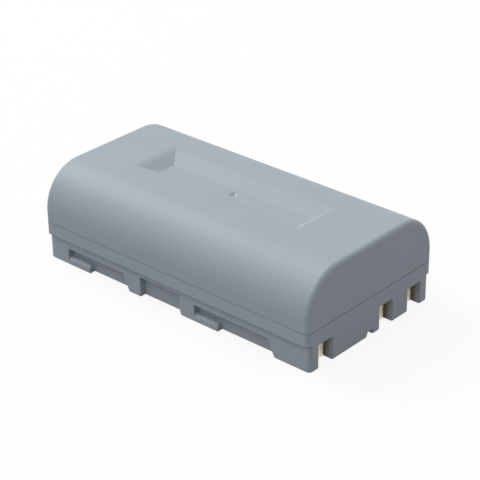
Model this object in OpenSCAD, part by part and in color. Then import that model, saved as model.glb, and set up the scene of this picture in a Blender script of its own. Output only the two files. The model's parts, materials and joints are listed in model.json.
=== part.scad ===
// Two-cell rechargeable battery for a handheld terminal.
// Millimetres. X runs along the cells with the contacts at +X, Z is up.
// The origin is the centre of the flat underside.

/* [Cells] */
// Diameter of a sleeved cell
cell_diameter = 18.3; // [18:0.1:18.8]
// Length of a sleeved cell
cell_length = 65; // [62:0.5:68]
// Gap between the two sleeved cells
cell_gap = 0.1; // [0.1:0.05:0.5]
// Wall of the shrink sleeve
sleeve_wall = 0.1; // [0.08:0.01:0.14]
// Radius of the raised button of a cell's cap
button_radius = 4; // [3.5:0.1:4.5]

/* [Case walls] */
// Wall beside the cells at their widest
side_wall = 0.75; // [0.7:0.05:1.2]
// Wall under the cells
floor_wall = 1.15; // [1:0.05:1.6]
// Wall over the cells
roof_wall = 0.85; // [0.7:0.05:1.4]
// Wall at both ends of the case
end_wall = 1.15; // [0.9:0.05:1.4]
// Clearance between a cell and its channel in the case
cell_clearance = 0.1; // [0.05:0.01:0.15]

/* [Case outline] */
// Radius of the shoulders along the upper case
shoulder_radius = 9.3; // [8.8:0.1:9.8]
// Fillet round both ends of the case
end_fillet = 0.95; // [0.8:0.05:1.4]
// Height of the parting line between the two halves
seam_height = 8.65; // [8.3:0.05:9]
// Height of the step below which the long sides stand in
step_height = 5.8; // [5.5:0.05:6]
// How far the long sides stand in below the step
step_depth = 0.7; // [0.45:0.05:0.8]
// Radius along the lower edge of the step
step_round = 0.2; // [0.1:0.05:0.5]
// Radius along the lower edges of the case
foot_round = 0.3; // [0.15:0.05:0.6]
// Depth of the groove along the parting line
seam_groove_depth = 0.12; // [0.08:0.02:0.2]
// Height of the groove along the parting line
seam_groove_height = 0.18; // [0.12:0.02:0.3]
// Height of the inner lip that joins the halves
lap_height = 0.75; // [0.5:0.05:1]
// Depth of the upper case's rim outside the lap lip
lap_rim = 0.4; // [0.3:0.02:0.44]
// Clearance beside and above the lap lip
lap_clearance = 0.05; // [0.02:0.01:0.08]

/* [Top recess] */
// Length of the recess at its rim
recess_length = 43; // [40:0.5:46]
// Width of the recess at its rim
recess_width = 11.7; // [10.5:0.1:12.5]
// Length of the recess floor
recess_floor_length = 37.2; // [34:0.2:37.8]
// Width of the recess floor
recess_floor_width = 4.3; // [3:0.1:5.5]
// Depth of the recess
recess_depth = 1.55; // [0.8:0.05:1.7]
// Shift of the recess rim along X against its floor
recess_shift_x = -0.5; // [-0.8:0.1:0.2]
// Shift of the recess rim along Y against its floor
recess_shift_y = 0.7; // [-0.2:0.1:0.9]
// Radius of the rim at the rear end and the +Y side of the recess
soft_rim_round = 5; // [1:0.5:6]
// Radius of the rim at the front end and the -Y side of the recess
firm_rim_round = 1.2; // [0.5:0.1:3]
// Radius of the gate dimple at the middle of the recess floor
dimple_radius = 0.9; // [0.5:0.05:1.2]
// Depth of the gate dimple
dimple_depth = 0.4; // [0.1:0.05:0.5]

/* [Rail slots] */
// Depth of the slots into the long sides
slot_depth = 1.4; // [1.2:0.05:1.6]
// Start of the rear hook slot along X
rear_hook_start = -29.8; // [-31:0.1:-29]
// Length of the mouth of the rear hook slot at its ceiling
rear_mouth = 9.7; // [8.5:0.1:10]
// Start of the front hook slot along X
front_hook_start = 5.9; // [5.2:0.1:6.4]
// Length of the mouth of the front hook slot at its ceiling
front_mouth = 12.75; // [11.5:0.05:13]
// Height of the hook slots' ceiling
hook_ceiling = 3.65; // [3.3:0.05:4.2]
// Length of the hook under each slot
hook_length = 6.25; // [5.5:0.05:7]
// Height of the hook under each slot
hook_height = 1.7; // [1.3:0.05:2]
// Radius along the outer edge of a hook
hook_edge_radius = 0.75; // [0.4:0.05:0.9]
// Radius at the free end of a hook
hook_end_radius = 0.7; // [0.4:0.05:0.9]
// Slant of the slots' front edge from the vertical
mouth_slant = 25; // [20:1:32]
// Start of the straight slot along X
straight_start = -8.9; // [-9.4:0.1:-8]
// Length of the straight slot
straight_length = 10.9; // [10:0.1:11.2]
// Height of the straight slot's ceiling
straight_ceiling = 4.45; // [4:0.05:4.7]
// Chamfer at the lower front corner of the straight slot
straight_chamfer = 0.4; // [0.2:0.05:0.6]

/* [Contact end] */
// Distance of the outer contacts from the middle
outer_contact_y = 13.82; // [13.4:0.02:14]
// Distance of the signal contact from the middle
signal_contact_y = 4.8; // [4.4:0.05:5.4]
// Width of a contact notch
notch_width = 4; // [3.8:0.05:4.4]
// Height of a contact notch
notch_height = 5.1; // [4.6:0.05:5.4]
// Radius round the mouth of a contact notch
mouth_round = 0.25; // [0.15:0.05:0.5]
// Thickness of a contact plate
contact_thickness = 0.4; // [0.3:0.05:0.5]
// Clearance at each side of a contact plate
contact_clearance = 0.05; // [0.03:0.01:0.08]
// Gap from the underside of the case to a contact plate
contact_lift = 0.05; // [0.05:0.05:0.4]
// Width of a contact's solder tab
solder_tab_width = 2.6; // [2:0.1:3]
// Height of a contact's solder tab on the board
solder_tab_height = 2.9; // [2:0.1:3.4]
// Middle of the key groove's roof along Y
key_y = -0.1; // [-0.4:0.05:0.2]
// Width of the key groove at its roof
key_width = 1.45; // [1.2:0.05:2]
// Height of the key groove
key_height = 1.05; // [0.8:0.05:1.3]
// Length of the key groove from the end of the case
key_length = 8; // [6:0.5:12]
// Slant of the key groove's -Y side
key_slant = 0.45; // [0.1:0.05:0.6]
// Radius at the foot of the key groove's +Y side
key_round = 0.3; // [0.1:0.05:0.4]

/* [Inside] */
// Thickness of the nickel strips and tabs
strip_thickness = 0.15; // [0.1:0.01:0.2]
// Width of the nickel strips and tabs
strip_width = 6; // [5:0.5:7]
// Thickness of the rear insulator card
rear_card = 0.2; // [0.15:0.01:0.3]
// Thickness of the front insulator card
front_card = 0.3; // [0.2:0.02:0.4]
// Clearance round an insulator card
card_clearance = 0.1; // [0.05:0.01:0.2]
// Gap between the front insulator card and the board
board_gap = 0.3; // [0.25:0.05:0.5]
// Thickness of the circuit board
board_thickness = 0.8; // [0.6:0.05:1]
// Margin of the circuit board outside the outer solder tabs
board_margin = 0.38; // [0.3:0.02:0.6]
// Height of the circuit board
board_height = 10.2; // [9.8:0.1:10.6]
// Room in front of the board for its parts
parts_room = 1.4; // [1.3:0.05:2]
// Thickness of the shelf over the contact notches
shelf_wall = 1.1; // [0.8:0.05:1.3]
// Width of the midpoint lead
lead_width = 2; // [1.6:0.1:2.4]
// Wall of the insulating tube on the midpoint lead
lead_tube_wall = 0.2; // [0.1:0.02:0.25]

/* [Hidden] */

$fn = 64;

// Overshoot of a cut past the face it opens
over = 1;
// Radius of a sleeved cell and of its channel in the case
cell_radius = cell_diameter / 2;
channel_radius = cell_radius + cell_clearance;
// Place of a cell's axis
cell_y = cell_radius + cell_gap / 2;
cell_z = floor_wall + channel_radius;

// Stack along X, from the rear wall forward
case_length = 2 * end_wall + rear_card + 3 * strip_thickness + cell_length + sleeve_wall / 2
    + front_card + board_gap + board_thickness + parts_room;
case_width = 2 * (cell_y + channel_radius + side_wall);
case_height = cell_z + channel_radius + roof_wall;
end_x = case_length / 2;
rear_wall_x = -end_x + end_wall;
lead_x = rear_wall_x + rear_card;
strip_x = lead_x + strip_thickness;
cell_rear_x = strip_x + strip_thickness;
cell_front_x = cell_rear_x + cell_length;
card_x = cell_front_x + strip_thickness;
channel_front_x = card_x + front_card + sleeve_wall;
board_x = card_x + front_card + board_gap;
board_face_x = board_x + board_thickness;
front_wall_x = end_x - end_wall;

// Shoulders of the upper case
shoulder_y = case_width / 2 - shoulder_radius;
shoulder_z = case_height - shoulder_radius;

// Room between the cells, above and below their touching line
valley_half = cell_y - cell_radius / 4;
valley_floor = floor_wall + cell_clearance / 2;
recess_wall = 1;
valley_roof = case_height - recess_depth - recess_wall;

// Board on its shelf
board_width = 2 * (outer_contact_y + solder_tab_width / 2 + board_margin);
shelf_z = notch_height + shelf_wall;
front_inset = end_wall;

// Key groove and the boss that keeps the floor closed over it
key_boss_height = key_height + floor_wall;
key_boss_margin = 1.1;

// Cell details, measured from the positive end or the can's axis
can_radius = cell_radius - sleeve_wall;
can_round = 0.5;
washer_thickness = 0.1;
crimp_drop = sleeve_wall + washer_thickness;
crimp_length = cell_length - sleeve_wall - crimp_drop;
crimp_inner_radius = 6.8;
crimp_depth = 0.9;
bead_from_end = 2.6;
bead_radius = 0.7;
bead_offset = 0.2;
gasket_wall = 0.5;
gasket_drop = 0.1;
cap_plate = 0.5;
cap_round = 0.3;
washer_outer_radius = 8.4;
washer_inner_radius = 6.2;
fold_radius = 7.3;
weld_radius = 2.2;

// Tabs between the cells and the board
tab_leg_z = cell_z + strip_width / 2;
tab_foot = 1.6;
slot_margin = 0.15;

// Midpoint lead, laid in the upper valley between the cells
tube_half = lead_width / 2 + lead_tube_wall;
tube_rest_z = cell_z + sqrt(pow(cell_radius, 2) - pow(cell_y - tube_half, 2));
lead_z = tube_rest_z + lead_tube_wall;
tube_end_gap = 1.5;

// Parts on the board: length along Y, height along Z, thickness along X
chip_body = [4.4, 3, 1];
chip_lead = [0.3, 0.7, 0.15];
chip_pitch = 0.65;
chip_rows = 4;
chip_leg_reach = 0.75;
resistor = [1.6, 0.8, 0.45];
capacitor = [1.6, 0.8, 0.8];
sensor = [2, 1.25, 0.9];
part_pitch = 1.7;
resistor_count = 4;
capacitor_count = 3;
protection_y = -7.5;
transistor_y = 8.7;
chip_z = shelf_z + 6.3;
resistor_y = -2.6;
capacitor_y = 2.6;
parts_z = shelf_z + 3.9;
sensor_y = -12.6;
sensor_z = shelf_z + 5.8;

// Adhesive bead under the cells
bead_start = -24;
bead_length = 14;
bead_gap = 16;
adhesive_half = 2.6;

// Box from its lowest to its highest corner
module block(low, high) {
    translate(low) cube(high - low);
}

// Cylinder along X
module bar(radius, from_x, to_x, y, z) {
    translate([from_x, y, z]) rotate([0, 90, 0]) cylinder(r = radius, h = to_x - from_x);
}

// Rectangle about the origin with rounded corners
module rounded_rectangle(length, width, corner) {
    square([length, width - 2 * corner], center = true);
    square([length - 2 * corner, width], center = true);
    for (x = [-1, 1], y = [-1, 1])
        translate([x * (length / 2 - corner), y * (width / 2 - corner)]) circle(r = corner);
}

// Upright prism with rounded vertical edges
module prism(length, width, corner, low, high) {
    translate([0, 0, low]) linear_extrude(high - low) rounded_rectangle(length, width, corner);
}

// Copies a shape to both long sides
module both_sides() {
    children();
    mirror([0, 1, 0]) children();
}

// Half section of a round bar with filleted ends, for turning about Y
module turned_section(radius, length, fillet) {
    square([radius - fillet, length]);
    translate([0, fillet]) square([radius, length - 2 * fillet]);
    translate([radius - fillet, fillet]) circle(r = fillet);
    translate([radius - fillet, length - fillet]) circle(r = fillet);
}

// Round bar along X with filleted ends, one shoulder of the upper case
module shoulder(y) {
    translate([-end_x, y, shoulder_z]) rotate([0, 90, 0])
        rotate_extrude() intersection() {
            turned_section(shoulder_radius, case_length, end_fillet);
            square([shoulder_radius, case_length]);
        }
}

// Outside of the upper case
module upper_outline() {
    intersection() {
        union() {
            shoulder(shoulder_y);
            shoulder(-shoulder_y);
            translate([0, shoulder_y, case_height / 2]) rotate([90, 0, 0])
                linear_extrude(2 * shoulder_y) rounded_rectangle(case_length, case_height, end_fillet);
            prism(case_length, case_width, end_fillet, seam_height, shoulder_z);
        }
        block([-case_length, -case_width, seam_height], [case_length, case_width, case_height + over]);
    }
}

// Upright section with its two lower corners rounded
module footed_section(width, height, edge) {
    translate([-width / 2, edge]) square([width, height - edge]);
    translate([-width / 2 + edge, 0]) square([width - 2 * edge, height]);
    for (x = [-1, 1])
        translate([x * (width / 2 - edge), edge]) circle(r = edge);
}

// Upright block with rounded corners and a rounded lower edge
module tub(length, width, corner, edge, low, high) {
    tall = high - low;
    translate([0, 0, low]) {
        for (x = [-1, 1], y = [-1, 1])
            translate([x * (length / 2 - corner), y * (width / 2 - corner), 0])
                rotate_extrude() intersection() {
                    footed_section(2 * corner, tall, edge);
                    square([corner, tall]);
                }
        translate([0, width / 2 - corner, 0]) rotate([90, 0, 0])
            linear_extrude(width - 2 * corner) footed_section(length, tall, edge);
        translate([corner - length / 2, 0, 0]) rotate([90, 0, 90])
            linear_extrude(length - 2 * corner) footed_section(width, tall, edge);
    }
}

// Outside of the lower case, with the lip that laps inside the upper case
module lower_outline() {
    lap_length = case_length - 2 * (lap_rim + lap_clearance);
    lap_width = case_width - 2 * (lap_rim + lap_clearance);
    tub(case_length, case_width - 2 * step_depth, end_fillet, foot_round, 0, seam_height);
    tub(case_length, case_width, end_fillet, step_round, step_height, seam_height);
    prism(lap_length, lap_width, end_fillet - lap_rim, seam_height - over, seam_height + lap_height);
}

// Room inside the case for cells, cards, board and its parts
module cavity() {
    for (y = [-cell_y, cell_y])
        bar(channel_radius, rear_wall_x, channel_front_x, y, cell_z);
    block([rear_wall_x, -valley_half, valley_floor], [channel_front_x, valley_half, valley_roof]);
    board_room();
}

// Room for the board and its parts, over the shelf at the contact end
module board_room() {
    room_radius = shoulder_radius - front_inset;
    for (y = [-shoulder_y, shoulder_y])
        bar(room_radius, channel_front_x - over, front_wall_x, y, shoulder_z);
    block([channel_front_x - over, -shoulder_y, shelf_z],
        [front_wall_x, shoulder_y, case_height - front_inset]);
    block([channel_front_x - over, -shoulder_y - room_radius, shelf_z],
        [front_wall_x, shoulder_y + room_radius, shoulder_z]);
}

// Keeps what lies above the shelf where the board stands, and all behind it
module above_shelf() {
    intersection() {
        children();
        union() {
            block([-case_length, -case_width, -over], [channel_front_x, case_width, 2 * case_height]);
            block([-case_length, -case_width, shelf_z], [case_length, case_width, 2 * case_height]);
        }
    }
}

// Groove cut round the case at the parting line, from low to high
module seam_groove(low, high) {
    difference() {
        prism(case_length + over, case_width + over, end_fillet, low, high);
        prism(case_length - 2 * seam_groove_depth, case_width - 2 * seam_groove_depth,
            end_fillet - seam_groove_depth, low - over, high + over);
    }
}

// Shallow tapered recess in the top: where its two tapered sections cross
module top_recess() {
    floor_z = case_height - recess_depth;
    intersection() {
        translate([0, case_width / 2, floor_z]) rotate([90, 0, 0]) linear_extrude(case_width)
            tapered_section(recess_floor_length, recess_length, recess_shift_x,
                soft_rim_round, firm_rim_round);
        translate([-end_x, 0, floor_z]) rotate([90, 0, 90]) linear_extrude(case_length)
            tapered_section(recess_floor_width, recess_width, recess_shift_y,
                firm_rim_round, soft_rim_round);
    }
    dimple_sphere = (pow(dimple_radius, 2) + pow(dimple_depth, 2)) / (2 * dimple_depth);
    translate([0, 0, floor_z + dimple_sphere - dimple_depth]) sphere(r = dimple_sphere);
}

// Section of the recess with its rim rounded, carried on upwards past the top
module tapered_section(floor_size, rim_size, shift, low_round, high_round) {
    run = (rim_size - floor_size) / 2;
    mirror([1, 0]) tapered_half(floor_size / 2, run - shift, low_round);
    tapered_half(floor_size / 2, run + shift, high_round);
}

// Half of the recess's section: its floor, slope and rounded rim
module tapered_half(floor_half, run, rim_round) {
    slope = atan(recess_depth / run);
    reach = rim_round * tan(slope / 2);
    rim = floor_half + run;
    polygon([
        [0, 0],
        [floor_half, 0],
        [rim, recess_depth],
        [rim, recess_depth + over],
        [0, recess_depth + over]
    ]);
    difference() {
        polygon([
            [rim - reach * cos(slope), recess_depth - reach * sin(slope)],
            [rim + reach, recess_depth],
            [rim + reach, recess_depth + over],
            [rim - reach * cos(slope), recess_depth + over]
        ]);
        translate([rim + reach, recess_depth - rim_round]) circle(r = rim_round);
    }
}

// Cut of a hook slot in one long side
module hook_slot(start, mouth) {
    wall_y = case_width / 2 - step_depth - slot_depth;
    face_y = case_width / 2 - step_depth;
    front = start + hook_length + mouth;
    slant = tan(mouth_slant);
    translate([0, -wall_y, 0]) rotate([90, 0, 0]) linear_extrude(slot_depth + over) difference() {
        polygon([
            [start, -over],
            [front + (hook_ceiling + over) * slant, -over],
            [front, hook_ceiling],
            [start, hook_ceiling]
        ]);
        translate([start, 0]) hook_side();
    }
    difference() {
        block([start, -face_y - over, hook_height - hook_edge_radius],
            [start + hook_length + over / 2, -face_y + hook_edge_radius, hook_height + over / 2]);
        bar(hook_edge_radius, start - over, start + hook_length + over,
            -face_y + hook_edge_radius, hook_height - hook_edge_radius);
    }
}

// Side view of the hook left under a slot, with its rounded free end
module hook_side() {
    translate([-over, -2 * over])
        square([hook_length + over, hook_height - hook_end_radius + 2 * over]);
    translate([-over, -2 * over])
        square([hook_length - hook_end_radius + over, hook_height + 2 * over]);
    translate([hook_length - hook_end_radius, hook_height - hook_end_radius]) circle(r = hook_end_radius);
}

// Cut of the straight slot in one long side
module straight_slot() {
    wall_y = case_width / 2 - step_depth - slot_depth;
    finish = straight_start + straight_length;
    translate([0, -wall_y, 0]) rotate([90, 0, 0]) linear_extrude(slot_depth + over)
        polygon([
            [straight_start, -over],
            [finish + straight_chamfer, -over],
            [finish + straight_chamfer, 0],
            [finish, 2 * straight_chamfer],
            [finish, straight_ceiling],
            [straight_start, straight_ceiling]
        ]);
}

// Cut that rounds a corner at the origin, where the solid lies to its left and above it
module flare(radius) {
    difference() {
        translate([-radius, -over]) square([radius + over, radius + over]);
        translate([-radius, radius]) circle(r = radius);
    }
}

// Mirrors a section to both sides of its second axis
module both_ways() {
    children();
    mirror([1, 0]) children();
}

// Cut of one contact notch and of the slit that lets its solder tab through
module contact_notch(y) {
    slit_half = solder_tab_width / 2 + contact_clearance;
    cut_length = end_x + over - board_face_x;
    translate([0, y, 0]) {
        intersection() {
            translate([0, 0, -over]) linear_extrude(notch_height + mouth_round + over) {
                translate([board_face_x, -notch_width / 2]) square([cut_length, notch_width]);
                translate([end_x, notch_width / 2]) flare(mouth_round);
                translate([end_x, -notch_width / 2]) mirror([0, 1]) flare(mouth_round);
            }
            translate([0, notch_width, 0]) rotate([90, 0, 0]) linear_extrude(2 * notch_width) {
                translate([board_face_x, -over]) square([cut_length, notch_height + over]);
                translate([end_x, notch_height]) flare(mouth_round);
            }
        }
        translate([board_face_x, 0, 0]) rotate([90, 0, 90]) linear_extrude(cut_length)
            both_ways() translate([-notch_width / 2, 0]) flare(foot_round);
        block([board_face_x, -slit_half, 0],
            [board_face_x + contact_thickness + contact_clearance, slit_half, shelf_z + over]);
    }
}

// Cut of the key groove along the underside from the contact end
module key_groove() {
    translate([end_x - key_length, key_y, 0]) rotate([90, 0, 90]) linear_extrude(key_length + over) {
        polygon([
            [-key_width / 2 - key_slant, -over],
            [key_width / 2, -over],
            [key_width / 2, key_height],
            [-key_width / 2, key_height],
            [-key_width / 2 - key_slant, 0]
        ]);
        translate([key_width / 2, 0]) mirror([1, 0]) flare(key_round);
    }
}

// Boss inside the case that closes the floor over the key groove
module key_boss() {
    block([end_x - key_length - key_boss_margin, key_y - key_width / 2 - key_boss_margin, 0],
        [channel_front_x + over, key_y + key_width / 2 + key_boss_margin, key_boss_height]);
}

// Upper half of the case, with the recess and the room for the lap lip
module upper_case() {
    color([0.68, 0.71, 0.74]) difference() {
        upper_outline();
        above_shelf() cavity();
        prism(case_length - 2 * lap_rim, case_width - 2 * lap_rim, end_fillet - lap_rim,
            seam_height - over, seam_height + lap_height + lap_clearance);
        seam_groove(seam_height - over, seam_height + seam_groove_height / 2);
        top_recess();
    }
}

// Lower half of the case, with the rail slots, contact notches and key groove
module lower_case() {
    color([0.55, 0.58, 0.61]) difference() {
        lower_outline();
        difference() {
            above_shelf() cavity();
            key_boss();
        }
        seam_groove(seam_height - seam_groove_height / 2, seam_height);
        both_sides() {
            hook_slot(rear_hook_start, rear_mouth);
            straight_slot();
            hook_slot(front_hook_start, front_mouth);
        }
        for (y = [-outer_contact_y, signal_contact_y, outer_contact_y]) contact_notch(y);
        key_groove();
    }
}

// Places a cell drawn along +Z with its positive end at the top; facing 1 points it to +X
module cell_place(side, facing) {
    start_x = facing > 0 ? cell_rear_x : cell_front_x;
    translate([start_x, side * cell_y, cell_z]) rotate([0, facing * 90, 0]) children();
}

// Sealed steel can with its rolled bead and crimped rim
module cell_can() {
    color([0.75, 0.76, 0.78]) translate([0, 0, sleeve_wall]) difference() {
        rotate_extrude() intersection() {
            turned_section(can_radius, crimp_length, can_round);
            square([can_radius, crimp_length]);
        }
        translate([0, 0, crimp_length - crimp_depth]) cylinder(r = crimp_inner_radius, h = cell_length);
        translate([0, 0, crimp_length - bead_from_end]) rotate_extrude()
            translate([can_radius + bead_offset, 0]) circle(r = bead_radius);
    }
}

// Cap plate with its raised button, held in the gasket
module cell_cap() {
    plate_z = sleeve_wall + crimp_length - crimp_depth;
    plate_radius = crimp_inner_radius - gasket_wall;
    color([0.8, 0.8, 0.78]) {
        translate([0, 0, plate_z]) cylinder(r = plate_radius, h = cap_plate);
        translate([0, 0, plate_z]) rotate_extrude() intersection() {
            turned_section(button_radius, cell_length - plate_z, cap_round);
            square([button_radius, cell_length]);
        }
    }
}

// Sealing ring between the cap and the crimped rim
module cell_gasket() {
    color([0.15, 0.15, 0.17]) translate([0, 0, sleeve_wall + crimp_length - crimp_depth]) difference() {
        cylinder(r = crimp_inner_radius, h = crimp_depth - gasket_drop);
        translate([0, 0, -over]) cylinder(r = crimp_inner_radius - gasket_wall, h = crimp_depth + 2 * over);
    }
}

// Paper ring on the crimped rim
module cell_washer() {
    color([0.9, 0.9, 0.85]) translate([0, 0, sleeve_wall + crimp_length]) difference() {
        cylinder(r = washer_outer_radius, h = washer_thickness);
        translate([0, 0, -over]) cylinder(r = washer_inner_radius, h = washer_thickness + 2 * over);
    }
}

// Shrink sleeve, folded in over both ends of the can
module cell_sleeve() {
    color([0.15, 0.4, 0.7]) difference() {
        rotate_extrude() intersection() {
            turned_section(cell_radius, cell_length, can_round + sleeve_wall);
            square([cell_radius, cell_length]);
        }
        translate([0, 0, sleeve_wall]) rotate_extrude() intersection() {
            turned_section(can_radius, cell_length - 2 * sleeve_wall, can_round);
            square([can_radius, cell_length]);
        }
        translate([0, 0, -over]) cylinder(r = fold_radius, h = cell_length + 2 * over);
    }
}

// Nickel strip across the rear ends, with the weld dimple on the negative end
module series_strip() {
    color([0.8, 0.79, 0.75]) {
        block([strip_x, -cell_y - strip_width / 2, cell_z - strip_width / 2],
            [cell_rear_x, cell_y + strip_width / 2, cell_z + strip_width / 2]);
        bar(weld_radius, strip_x, cell_rear_x + sleeve_wall, -cell_y, cell_z);
    }
}

// Nickel tab on a front end, bent through the card to a foot on the back of the board
module front_tab(side, reach_in) {
    color([0.8, 0.79, 0.75]) {
        block([cell_front_x, side * cell_y - strip_width / 2, cell_z - strip_width / 2],
            [card_x, side * cell_y + strip_width / 2, tab_leg_z]);
        block([cell_front_x, side * cell_y - strip_width / 4, tab_leg_z - strip_thickness],
            [board_x, side * cell_y + strip_width / 4, tab_leg_z]);
        block([board_x - strip_thickness, side * cell_y - strip_width / 4, tab_leg_z - strip_thickness],
            [board_x, side * cell_y + strip_width / 4, tab_leg_z + tab_foot]);
        bar(weld_radius, cell_front_x - reach_in, card_x, side * cell_y, cell_z);
    }
}

module positive_tab() {
    front_tab(-1, 0);
}

module negative_tab() {
    front_tab(1, sleeve_wall);
}

// Lead from the series strip, up the rear and forward between the cells to the board
module midpoint_lead() {
    half = lead_width / 2;
    color([0.8, 0.79, 0.75]) {
        block([lead_x, -half, cell_z - strip_width / 2], [strip_x, half, lead_z + strip_thickness]);
        block([lead_x, -half, lead_z], [board_x, half, lead_z + strip_thickness]);
        block([board_x - strip_thickness, -half, lead_z - tab_foot],
            [board_x, half, lead_z + strip_thickness]);
    }
}

// Insulating tube on the midpoint lead
module midpoint_insulation() {
    half = lead_width / 2;
    start_x = cell_rear_x + tube_end_gap;
    finish_x = cell_front_x - tube_end_gap;
    color([0.8, 0.5, 0.15]) difference() {
        block([start_x, -tube_half, lead_z - lead_tube_wall],
            [finish_x, tube_half, lead_z + strip_thickness + lead_tube_wall]);
        block([start_x - over, -half, lead_z], [finish_x + over, half, lead_z + strip_thickness]);
    }
}

// Card that fills the cells' channels, between two planes across X
module insulator_card(from_x, to_x) {
    for (y = [-cell_y, cell_y])
        bar(channel_radius - card_clearance, from_x, to_x, y, cell_z);
    block([from_x, -cell_y, cell_z - cell_radius / 2], [to_x, cell_y, cell_z + cell_radius / 2]);
}

module rear_insulator() {
    color([0.75, 0.7, 0.5]) insulator_card(rear_wall_x, lead_x);
}

module front_insulator() {
    color([0.75, 0.7, 0.5]) difference() {
        insulator_card(card_x, card_x + front_card);
        for (y = [-cell_y, cell_y])
            block([card_x - over, y - strip_width / 4 - slot_margin,
                tab_leg_z - strip_thickness - slot_margin],
                [board_x + over, y + strip_width / 4 + slot_margin, tab_leg_z + slot_margin]);
        block([card_x - over, -lead_width / 2 - slot_margin, cell_z + cell_radius / 4],
            [board_x + over, lead_width / 2 + slot_margin, case_height]);
    }
}

// Board with its upper corners cut to follow the shoulders
module circuit_board() {
    corner = board_height / 4;
    color([0.1, 0.35, 0.2]) translate([board_x, 0, shelf_z]) rotate([90, 0, 90])
        linear_extrude(board_thickness) polygon([
            [-board_width / 2, 0],
            [board_width / 2, 0],
            [board_width / 2, board_height - corner],
            [board_width / 2 - corner, board_height],
            [-board_width / 2 + corner, board_height],
            [-board_width / 2, board_height - corner]
        ]);
}

// Part on the board's face, by its middle and its size along Y, Z and X
module face_part(y, z, size) {
    block([board_face_x, y - size[0] / 2, z - size[1] / 2],
        [board_face_x + size[2], y + size[0] / 2, z + size[1] / 2]);
}

// Moulded chip with a row of legs along both ends
module leaded_chip(y) {
    color([0.12, 0.12, 0.13]) {
        translate([chip_lead[2], 0, 0]) face_part(y, chip_z, chip_body - [0, 0, chip_lead[2]]);
        for (side = [-1, 1], row = [0 : chip_rows - 1])
            chip_leg(y + side * chip_body[0] / 2, side, chip_z + (row - (chip_rows - 1) / 2) * chip_pitch);
    }
}

// Leg of a chip, from its body down to the board
module chip_leg(y, side, z) {
    low_y = min(y - side * chip_leg_reach / 2, y + side * chip_leg_reach);
    high_y = max(y - side * chip_leg_reach / 2, y + side * chip_leg_reach);
    block([board_face_x, low_y, z - chip_lead[0] / 2],
        [board_face_x + chip_lead[2] * 2, high_y, z + chip_lead[0] / 2]);
}

module protection_chip() {
    leaded_chip(protection_y);
}

module switching_transistors() {
    leaded_chip(transistor_y);
}

module chip_resistors() {
    color([0.2, 0.2, 0.22]) for (i = [0 : resistor_count - 1])
        face_part(resistor_y, parts_z + i * part_pitch, resistor);
}

module chip_capacitors() {
    color([0.7, 0.55, 0.35]) for (i = [0 : capacitor_count - 1])
        face_part(capacitor_y, parts_z + i * part_pitch, capacitor);
}

module thermistor() {
    color([0.35, 0.3, 0.3]) face_part(sensor_y, sensor_z, sensor);
}

// Contact plate at the back of a notch, with its solder tab up on the board
module contact(y) {
    plate_half = notch_width / 2 - contact_clearance;
    tab_half = solder_tab_width / 2;
    color([0.78, 0.72, 0.55]) {
        block([board_face_x, y - plate_half, contact_lift],
            [board_face_x + contact_thickness, y + plate_half, notch_height]);
        block([board_face_x, y - tab_half, contact_lift],
            [board_face_x + contact_thickness, y + tab_half, shelf_z + solder_tab_height]);
    }
}

module negative_contact() {
    contact(-outer_contact_y);
}

module signal_contact() {
    contact(signal_contact_y);
}

module positive_contact() {
    contact(outer_contact_y);
}

// Bead of adhesive in the lower valley, under and between the cells
module adhesive_bead() {
    color([0.9, 0.9, 0.88]) difference() {
        for (i = [0, 1])
            translate([bead_start + i * (bead_length + bead_gap), 0, 0])
                block([0, -adhesive_half, valley_floor], [bead_length, adhesive_half, cell_z]);
        for (y = [-cell_y, cell_y])
            bar(cell_radius, -case_length, case_length, y, cell_z);
        block([-case_length, -adhesive_half, cell_z - cell_radius / 2],
            [case_length, adhesive_half, case_height]);
    }
}

upper_case();
lower_case();
cell_place(-1, 1) cell_can();  // left_cell_can
cell_place(-1, 1) cell_cap();  // left_cell_cap
cell_place(-1, 1) cell_gasket();  // left_cell_gasket
cell_place(-1, 1) cell_washer();  // left_cell_washer
cell_place(-1, 1) cell_sleeve();  // left_cell_sleeve
cell_place(1, -1) cell_can();  // right_cell_can
cell_place(1, -1) cell_cap();  // right_cell_cap
cell_place(1, -1) cell_gasket();  // right_cell_gasket
cell_place(1, -1) cell_washer();  // right_cell_washer
cell_place(1, -1) cell_sleeve();  // right_cell_sleeve
series_strip();
positive_tab();
negative_tab();
midpoint_lead();
midpoint_insulation();
rear_insulator();
front_insulator();
circuit_board();
protection_chip();
switching_transistors();
chip_resistors();
chip_capacitors();
thermistor();
negative_contact();
signal_contact();
positive_contact();
adhesive_bead();
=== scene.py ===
import json
import math

import bpy
from mathutils import Matrix, Vector

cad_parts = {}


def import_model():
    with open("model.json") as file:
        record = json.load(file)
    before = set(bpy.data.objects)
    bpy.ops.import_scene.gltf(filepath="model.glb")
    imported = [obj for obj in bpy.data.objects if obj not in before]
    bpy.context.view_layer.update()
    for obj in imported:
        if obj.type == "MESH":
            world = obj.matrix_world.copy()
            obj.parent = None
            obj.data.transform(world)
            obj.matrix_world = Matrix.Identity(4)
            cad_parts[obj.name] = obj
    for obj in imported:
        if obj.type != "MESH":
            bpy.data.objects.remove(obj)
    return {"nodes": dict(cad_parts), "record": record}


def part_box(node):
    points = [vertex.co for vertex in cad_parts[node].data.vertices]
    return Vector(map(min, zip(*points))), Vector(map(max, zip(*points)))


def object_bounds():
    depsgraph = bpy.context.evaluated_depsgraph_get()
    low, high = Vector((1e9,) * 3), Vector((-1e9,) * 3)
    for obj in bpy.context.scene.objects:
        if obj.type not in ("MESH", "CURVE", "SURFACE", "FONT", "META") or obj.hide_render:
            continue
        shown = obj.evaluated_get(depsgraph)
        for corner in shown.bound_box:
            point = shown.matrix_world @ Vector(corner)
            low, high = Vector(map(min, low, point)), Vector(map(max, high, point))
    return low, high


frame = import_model()
cad_low, cad_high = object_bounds()

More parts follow.
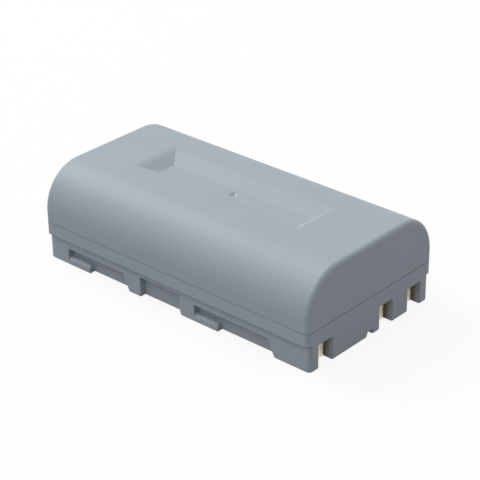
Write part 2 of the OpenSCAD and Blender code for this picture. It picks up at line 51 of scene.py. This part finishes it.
# Places, sizes and heights are in metres, lens and sensor in millimetres, lamps in watts

# Camera at the photograph's viewing angle
CAMERA_PLACE = Vector((0.20438, -0.2254, 0.17133))
CAMERA_RIGHT = Vector((0.74714, 0.66459, -0.01032))
CAMERA_UP = Vector((-0.30662, 0.35839, 0.88178))
CAMERA_LENS = 127.01
CAMERA_SENSOR = 36.0
CLIP_NEAR = 0.01
CLIP_FAR = 20.0

# Lamps by name, place, width and height, and power, all aimed at the middle of the case
LAMP_TARGET = Vector((0.0, 0.0, 0.01))
LAMPS = (
    ("left", (-1.8, -0.13, 1.67), (1.6, 1.6), 46.0),
    ("front", (0.1, -1.1, 1.3), (1.6, 1.0), 8.9),
    ("behind", (0.5, 1.1, 1.0), (1.4, 0.8), 5.6),
)

# Floor and background
WHITE = (1.0, 1.0, 1.0, 1.0)
WORLD_FILL = 0.285
FLOOR_SIZE = 4.0
FLOOR_GAP = 0.00002
FLOOR_COLOR = (0.9, 0.9, 0.9, 1.0)
FLOOR_BOUNCE = (0.35, 0.35, 0.35, 1.0)
FLOOR_ROUGHNESS = 0.9
FLOOR_GLOW = 0.88

# Where a noise turns from its low colour to its high one
DRIFT_START = 0.35
DRIFT_END = 0.65

# Grey moulded plastic of the case
PLASTIC_COLOR = (0.328, 0.375, 0.417, 1.0)
PLASTIC_SHADE = (0.318, 0.365, 0.406, 1.0)
PLASTIC_ROUGHNESS = (0.46, 0.6)
PLASTIC_SPECULAR = 0.4
PLASTIC_DRIFT_SCALE = 60.0
PLASTIC_GRAIN_SCALE = 2600.0
PLASTIC_GRAIN_HEIGHT = 0.000012

# Gate dimple in the recess floor
DIMPLE_PLACE = (0.0, 0.0, 0.01895)
DIMPLE_RADIUS = 0.00098
DIMPLE_GLOSS = 0.12

# Painted shade with a painted brown reflection of the contact plates on the walls of the contact
# notches, full over the deepest stretch
CONTACTS = ("negative_contact", "signal_contact", "positive_contact")
NOTCH_PAINTED_SHADE = (0.055, 0.034, 0.02, 1.0)
NOTCH_MARGIN = 0.00008
NOTCH_TOP = 0.00515
NOTCH_DEEP = 0.0005

# Metals, with fine lines along one axis and a slight tarnish
TARNISH_SCALE = 350.0
LINES_SCALE = 900.0
LINES_DETAIL = 4.0
LINES_HEIGHT = 0.000004
LINES_ALONG_Y = (1.0, 0.15, 1.0)
LINES_ALONG_Z = (1.0, 1.0, 0.12)
METAL_SPREAD = (-0.08, 0.1)
METAL_SHADE = 0.86
METAL_ROUGHNESS = {"can_steel": 0.35, "cap_steel": 0.3, "nickel_strip": 0.28}
CONTACT_COLOR = (0.98, 0.93, 0.78, 1.0)
CONTACT_SHADE = (0.92, 0.86, 0.7, 1.0)
CONTACT_ROUGHNESS = 0.68

# Card, film, resin and rubber
GRAIN_DETAIL = 3.0
COATED_GRAIN_SCALE = 500.0
COATED_GRAIN_HEIGHT = 0.00001
COATED_SPREAD = (-0.06, 0.08)
COATED_SHADE = 0.88
COATED_ROUGHNESS = {
    "shrink_sleeve": 0.3, "lead_tube": 0.3, "board": 0.35, "chip_body": 0.55, "resistor_body": 0.4,
    "capacitor_body": 0.6, "sensor_body": 0.6, "adhesive": 0.4, "gasket": 0.7, "washer_paper": 0.85,
    "insulator_card": 0.8,
}

# Small rounding of the moulded edges below the parting line
WELD_DISTANCE = 0.000002
FLAT_ANGLE = math.radians(0.3)
SHARP_ANGLE = math.radians(35.0)
SEAM_MARGIN = 0.0003
EDGE_ROUND = 0.0002
ROUND_SEGMENTS = 3


def material(name):
    """New node material, with its nodes, links and shader at hand."""
    made = bpy.data.materials.new(name)
    made.use_nodes = True
    nodes = made.node_tree.nodes
    return made, nodes, made.node_tree.links, nodes["Principled BSDF"]


def object_noise(nodes, links, scale, detail=2.0, stretch=(1.0, 1.0, 1.0)):
    """Noise in the object's own coordinates, optionally stretched."""
    coords = nodes.new("ShaderNodeTexCoord")
    mapping = nodes.new("ShaderNodeMapping")
    mapping.inputs["Scale"].default_value = stretch
    noise = nodes.new("ShaderNodeTexNoise")
    noise.inputs["Scale"].default_value = scale
    noise.inputs["Detail"].default_value = detail
    links.new(coords.outputs["Object"], mapping.inputs["Vector"])
    links.new(mapping.outputs["Vector"], noise.inputs["Vector"])
    return noise.outputs["Fac"]


def drifting_color(nodes, links, noise, low, high):
    """Colour that drifts between two colours with the noise."""
    ramp = nodes.new("ShaderNodeValToRGB")
    start, end = ramp.color_ramp.elements
    start.position, start.color = DRIFT_START, low
    end.position, end.color = DRIFT_END, high
    links.new(noise, ramp.inputs["Fac"])
    return ramp.outputs["Color"]


def varied_roughness(nodes, links, noise, low, high):
    """Roughness that varies between two values with the noise."""
    span = nodes.new("ShaderNodeMapRange")
    span.inputs["To Min"].default_value = low
    span.inputs["To Max"].default_value = high
    links.new(noise, span.inputs["Value"])
    return span.outputs["Result"]


def grain_normal(nodes, links, noise, height):
    """Surface grain of the given height."""
    bump = nodes.new("ShaderNodeBump")
    bump.inputs["Distance"].default_value = height
    links.new(noise, bump.inputs["Height"])
    return bump.outputs["Normal"]


def compare(nodes, links, value, operation, limit, epsilon=0.0):
    """1 where a value passes a comparison with a limit, 0 elsewhere."""
    test = nodes.new("ShaderNodeMath")
    test.operation = operation
    test.inputs[1].default_value = limit
    test.inputs[2].default_value = epsilon
    links.new(value, test.inputs[0])
    return test.outputs[0]


def combine(nodes, links, operation, values):
    """Values joined one after another by the same operation."""
    joined = values[0]
    for value in values[1:]:
        step = nodes.new("ShaderNodeMath")
        step.operation = operation
        links.new(joined, step.inputs[0])
        links.new(value, step.inputs[1])
        joined = step.outputs[0]
    return joined


def notch_painted_shade_mask(nodes, links):
    """Mask of the painted shade and painted brown reflection on the walls inside the contact notches,
    fading from the plates out to the end face.
    """
    coords = nodes.new("ShaderNodeTexCoord")
    axes = nodes.new("ShaderNodeSeparateXYZ")
    links.new(coords.outputs["Object"], axes.inputs["Vector"])
    across = []
    for name in CONTACTS:
        low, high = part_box(name)
        middle, half = (low[1] + high[1]) / 2, (high[1] - low[1]) / 2
        across.append(compare(nodes, links, axes.outputs["Y"], "COMPARE", middle, half + NOTCH_MARGIN))
    plate_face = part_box(CONTACTS[0])[0][0]
    inside = compare(nodes, links, axes.outputs["X"], "GREATER_THAN", plate_face)
    under = compare(nodes, links, axes.outputs["Z"], "LESS_THAN", NOTCH_TOP)
    fade = nodes.new("ShaderNodeMapRange")
    fade.interpolation_type = "SMOOTHSTEP"
    fade.inputs["From Min"].default_value = plate_face + NOTCH_DEEP
    fade.inputs["From Max"].default_value = cad_high.x
    fade.inputs["To Min"].default_value = 1.0
    fade.inputs["To Max"].default_value = 0.0
    links.new(axes.outputs["X"], fade.inputs["Value"])
    within = combine(nodes, links, "MAXIMUM", across)
    return combine(nodes, links, "MULTIPLY", [within, under, inside, fade.outputs["Result"]])


def dimple_mask(nodes, links):
    """Mask of the gate dimple in the recess floor."""
    coords = nodes.new("ShaderNodeTexCoord")
    reach = nodes.new("ShaderNodeVectorMath")
    reach.operation = "DISTANCE"
    reach.inputs[1].default_value = DIMPLE_PLACE
    links.new(coords.outputs["Object"], reach.inputs[0])
    return compare(nodes, links, reach.outputs["Value"], "LESS_THAN", DIMPLE_RADIUS)


def moulded_plastic():
    """Grey plastic with a satin grain, painted brown shade and reflection by the contacts, and glossy
    in the gate dimple.
    """
    made, nodes, links, shader = material("moulded_plastic")
    drift = object_noise(nodes, links, PLASTIC_DRIFT_SCALE)
    # Painted shade and painted brown reflection of the contacts, mixed into the plastic colour inside
    # the notches
    painted_shade = nodes.new("ShaderNodeMix")
    painted_shade.data_type = "RGBA"
    painted_shade.inputs["B"].default_value = NOTCH_PAINTED_SHADE
    links.new(notch_painted_shade_mask(nodes, links), painted_shade.inputs["Factor"])
    links.new(drifting_color(nodes, links, drift, PLASTIC_SHADE, PLASTIC_COLOR), painted_shade.inputs["A"])
    links.new(painted_shade.outputs["Result"], shader.inputs["Base Color"])
    grain = object_noise(nodes, links, PLASTIC_GRAIN_SCALE, GRAIN_DETAIL)
    polish = nodes.new("ShaderNodeMix")
    polish.inputs["B"].default_value = DIMPLE_GLOSS
    links.new(dimple_mask(nodes, links), polish.inputs["Factor"])
    links.new(varied_roughness(nodes, links, grain, *PLASTIC_ROUGHNESS), polish.inputs["A"])
    links.new(polish.outputs["Result"], shader.inputs["Roughness"])
    links.new(grain_normal(nodes, links, grain, PLASTIC_GRAIN_HEIGHT), shader.inputs["Normal"])
    shader.inputs["Specular IOR Level"].default_value = PLASTIC_SPECULAR
    return made


def brushed_metal(name, low, high, roughness, stretch):
    """Metal with fine parallel lines and a slight tarnish."""
    made, nodes, links, shader = material(name)
    tarnish = object_noise(nodes, links, TARNISH_SCALE)
    lines = object_noise(nodes, links, LINES_SCALE, LINES_DETAIL, stretch)
    smooth, rough = (roughness + change for change in METAL_SPREAD)
    links.new(drifting_color(nodes, links, tarnish, low, high), shader.inputs["Base Color"])
    links.new(varied_roughness(nodes, links, lines, smooth, rough), shader.inputs["Roughness"])
    links.new(grain_normal(nodes, links, lines, LINES_HEIGHT), shader.inputs["Normal"])
    shader.inputs["Metallic"].default_value = 1.0
    return made


def coated(name, low, high, roughness):
    """Card, film, resin or rubber: two close colours, grain and varied gloss."""
    made, nodes, links, shader = material(name)
    grain = object_noise(nodes, links, COATED_GRAIN_SCALE, GRAIN_DETAIL)
    smooth, rough = (roughness + change for change in COATED_SPREAD)
    links.new(drifting_color(nodes, links, grain, low, high), shader.inputs["Base Color"])
    links.new(varied_roughness(nodes, links, grain, smooth, rough), shader.inputs["Roughness"])
    links.new(grain_normal(nodes, links, grain, COATED_GRAIN_HEIGHT), shader.inputs["Normal"])
    return made


def shaded(color, factor):
    """A colour of the record, opaque and darkened by a factor."""
    return tuple(channel * factor for channel in color[:3]) + (1.0,)


def dress_nodes():
    """Gives every CAD node a procedural material, by its slot in the record."""
    record = frame["record"]
    colors = {row["slot"]: shaded(row["base_color"], 1.0) for row in record["materials"]}
    slots = {row["node"]: row["material_slot"] for row in record["subparts"]}
    made = {"case_plastic": moulded_plastic()}
    made["contact_plating"] = brushed_metal(
        "contact_plating", CONTACT_SHADE, CONTACT_COLOR, CONTACT_ROUGHNESS, LINES_ALONG_Z)
    for slot, roughness in METAL_ROUGHNESS.items():
        dark = shaded(colors[slot], METAL_SHADE)
        made[slot] = brushed_metal(slot, dark, colors[slot], roughness, LINES_ALONG_Y)
    for slot, roughness in COATED_ROUGHNESS.items():
        dark = shaded(colors[slot], COATED_SHADE)
        made[slot] = coated(slot, dark, colors[slot], roughness)
    for name, node in frame["nodes"].items():
        node.data.materials.clear()
        node.data.materials.append(made[slots[name]])


def sharp_edge_weights():
    """Node group that marks the outward edges below the parting line for rounding."""
    group = bpy.data.node_groups.new("sharp_edge_weights", "GeometryNodeTree")
    for direction in ("INPUT", "OUTPUT"):
        group.interface.new_socket("Geometry", in_out=direction, socket_type="NodeSocketGeometry")
    nodes, links = group.nodes, group.links
    source = nodes.new("NodeGroupInput")
    result = nodes.new("NodeGroupOutput")
    angle = nodes.new("GeometryNodeInputMeshEdgeAngle")
    place = nodes.new("GeometryNodeInputPosition")
    axes = nodes.new("ShaderNodeSeparateXYZ")
    links.new(place.outputs["Position"], axes.inputs["Vector"])
    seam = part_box("upper_case")[0].z - SEAM_MARGIN
    sharp = compare(nodes, links, angle.outputs["Signed Angle"], "GREATER_THAN", SHARP_ANGLE)
    below = compare(nodes, links, axes.outputs["Z"], "LESS_THAN", seam)
    store = nodes.new("GeometryNodeStoreNamedAttribute")
    store.data_type = "FLOAT"
    store.domain = "EDGE"
    store.inputs["Name"].default_value = "bevel_weight_edge"
    links.new(combine(nodes, links, "MULTIPLY", [sharp, below]), store.inputs["Value"])
    links.new(source.outputs[0], store.inputs["Geometry"])
    links.new(store.outputs["Geometry"], result.inputs[0])
    return group


def soften_edges(name):
    """Small rounding on the marked edges of a CAD node, made by modifiers alone."""
    node = frame["nodes"][name]
    weld = node.modifiers.new("weld", "WELD")
    weld.merge_threshold = WELD_DISTANCE
    flat = node.modifiers.new("flat", "DECIMATE")
    flat.decimate_type = "DISSOLVE"
    flat.angle_limit = FLAT_ANGLE
    marks = node.modifiers.new("marks", "NODES")
    marks.node_group = sharp_edge_weights()
    round_off = node.modifiers.new("round_off", "BEVEL")
    round_off.width = EDGE_ROUND
    round_off.segments = ROUND_SEGMENTS
    round_off.limit_method = "WEIGHT"
    round_off.harden_normals = True
    round_off.use_clamp_overlap = False


def add_object(name, data):
    """New object of the scene that holds the given data."""
    placed = bpy.data.objects.new(name, data)
    bpy.context.scene.collection.objects.link(placed)
    return placed


def camera():
    """Camera placed as the photograph's was."""
    data = bpy.data.cameras.new("camera")
    data.lens = CAMERA_LENS
    data.sensor_width = CAMERA_SENSOR
    data.clip_start = CLIP_NEAR
    data.clip_end = CLIP_FAR
    placed = add_object("camera", data)
    back = CAMERA_RIGHT.cross(CAMERA_UP).normalized()
    right = CAMERA_RIGHT.normalized()
    up = back.cross(right)
    turn = Matrix((right, up, back)).transposed().to_4x4()
    placed.matrix_world = Matrix.Translation(CAMERA_PLACE) @ turn
    bpy.context.scene.camera = placed


def lamp(name, place, size, power):
    """Soft rectangular lamp aimed at the case."""
    data = bpy.data.lights.new(name, "AREA")
    data.shape = "RECTANGLE"
    data.size, data.size_y = size
    data.energy = power
    placed = add_object(name, data)
    placed.location = place
    placed.rotation_mode = "QUATERNION"
    placed.rotation_quaternion = (LAMP_TARGET - Vector(place)).to_track_quat("-Z", "Y")


def lights():
    """Wide soft lamps: the main light from the left, weaker ones from in front and behind."""
    for name, place, size, power in LAMPS:
        lamp(name, place, size, power)


def seen_directly(nodes, links):
    """1 for rays from the camera, from gloss and through glass, 0 for the rest."""
    path = nodes.new("ShaderNodeLightPath")
    rays = ("Is Camera Ray", "Is Glossy Ray", "Is Transmission Ray")
    return combine(nodes, links, "MAXIMUM", [path.outputs[ray] for ray in rays])


def world():
    """White where it is seen, and a plain level of soft light elsewhere."""
    made = bpy.data.worlds.new("studio")
    bpy.context.scene.world = made
    made.use_nodes = True
    nodes, links = made.node_tree.nodes, made.node_tree.links
    nodes.clear()
    fill = nodes.new("ShaderNodeBackground")
    fill.inputs["Color"].default_value = WHITE
    fill.inputs["Strength"].default_value = WORLD_FILL
    white = nodes.new("ShaderNodeBackground")
    white.inputs["Color"].default_value = WHITE
    white.inputs["Strength"].default_value = 1.0
    mix = nodes.new("ShaderNodeMixShader")
    out = nodes.new("ShaderNodeOutputWorld")
    links.new(seen_directly(nodes, links), mix.inputs["Fac"])
    links.new(fill.outputs[0], mix.inputs[1])
    links.new(white.outputs[0], mix.inputs[2])
    links.new(mix.outputs[0], out.inputs["Surface"])


def floor_material():
    """Pale where it is seen, glowing almost white, and darker in the light that it throws back."""
    made, nodes, links, shader = material("floor")
    seen = seen_directly(nodes, links)
    tone = nodes.new("ShaderNodeMix")
    tone.data_type = "RGBA"
    tone.inputs["A"].default_value = FLOOR_BOUNCE
    tone.inputs["B"].default_value = FLOOR_COLOR
    links.new(seen, tone.inputs["Factor"])
    links.new(tone.outputs["Result"], shader.inputs["Base Color"])
    shader.inputs["Roughness"].default_value = FLOOR_ROUGHNESS
    shader.inputs["Specular IOR Level"].default_value = 0.0
    glow = nodes.new("ShaderNodeEmission")
    glow.inputs["Color"].default_value = WHITE
    weight = nodes.new("ShaderNodeMath")
    weight.operation = "MULTIPLY"
    weight.inputs[1].default_value = FLOOR_GLOW
    mix = nodes.new("ShaderNodeMixShader")
    links.new(seen, weight.inputs[0])
    links.new(weight.outputs[0], mix.inputs["Fac"])
    links.new(shader.outputs[0], mix.inputs[1])
    links.new(glow.outputs[0], mix.inputs[2])
    links.new(mix.outputs[0], nodes["Material Output"].inputs["Surface"])
    return made


def floor():
    """Plain pale floor that keeps the object's shadow."""
    half = FLOOR_SIZE / 2
    corners = [(-half, -half, 0), (half, -half, 0), (half, half, 0), (-half, half, 0)]
    mesh = bpy.data.meshes.new("floor")
    mesh.from_pydata(corners, [], [(0, 1, 2, 3)])
    mesh.materials.append(floor_material())
    placed = add_object("floor", mesh)
    placed.location.z = cad_low.z - FLOOR_GAP


bpy.context.scene.view_settings.view_transform = "Standard"
camera()
world()
floor()
lights()
dress_nodes()
soften_edges("lower_case")
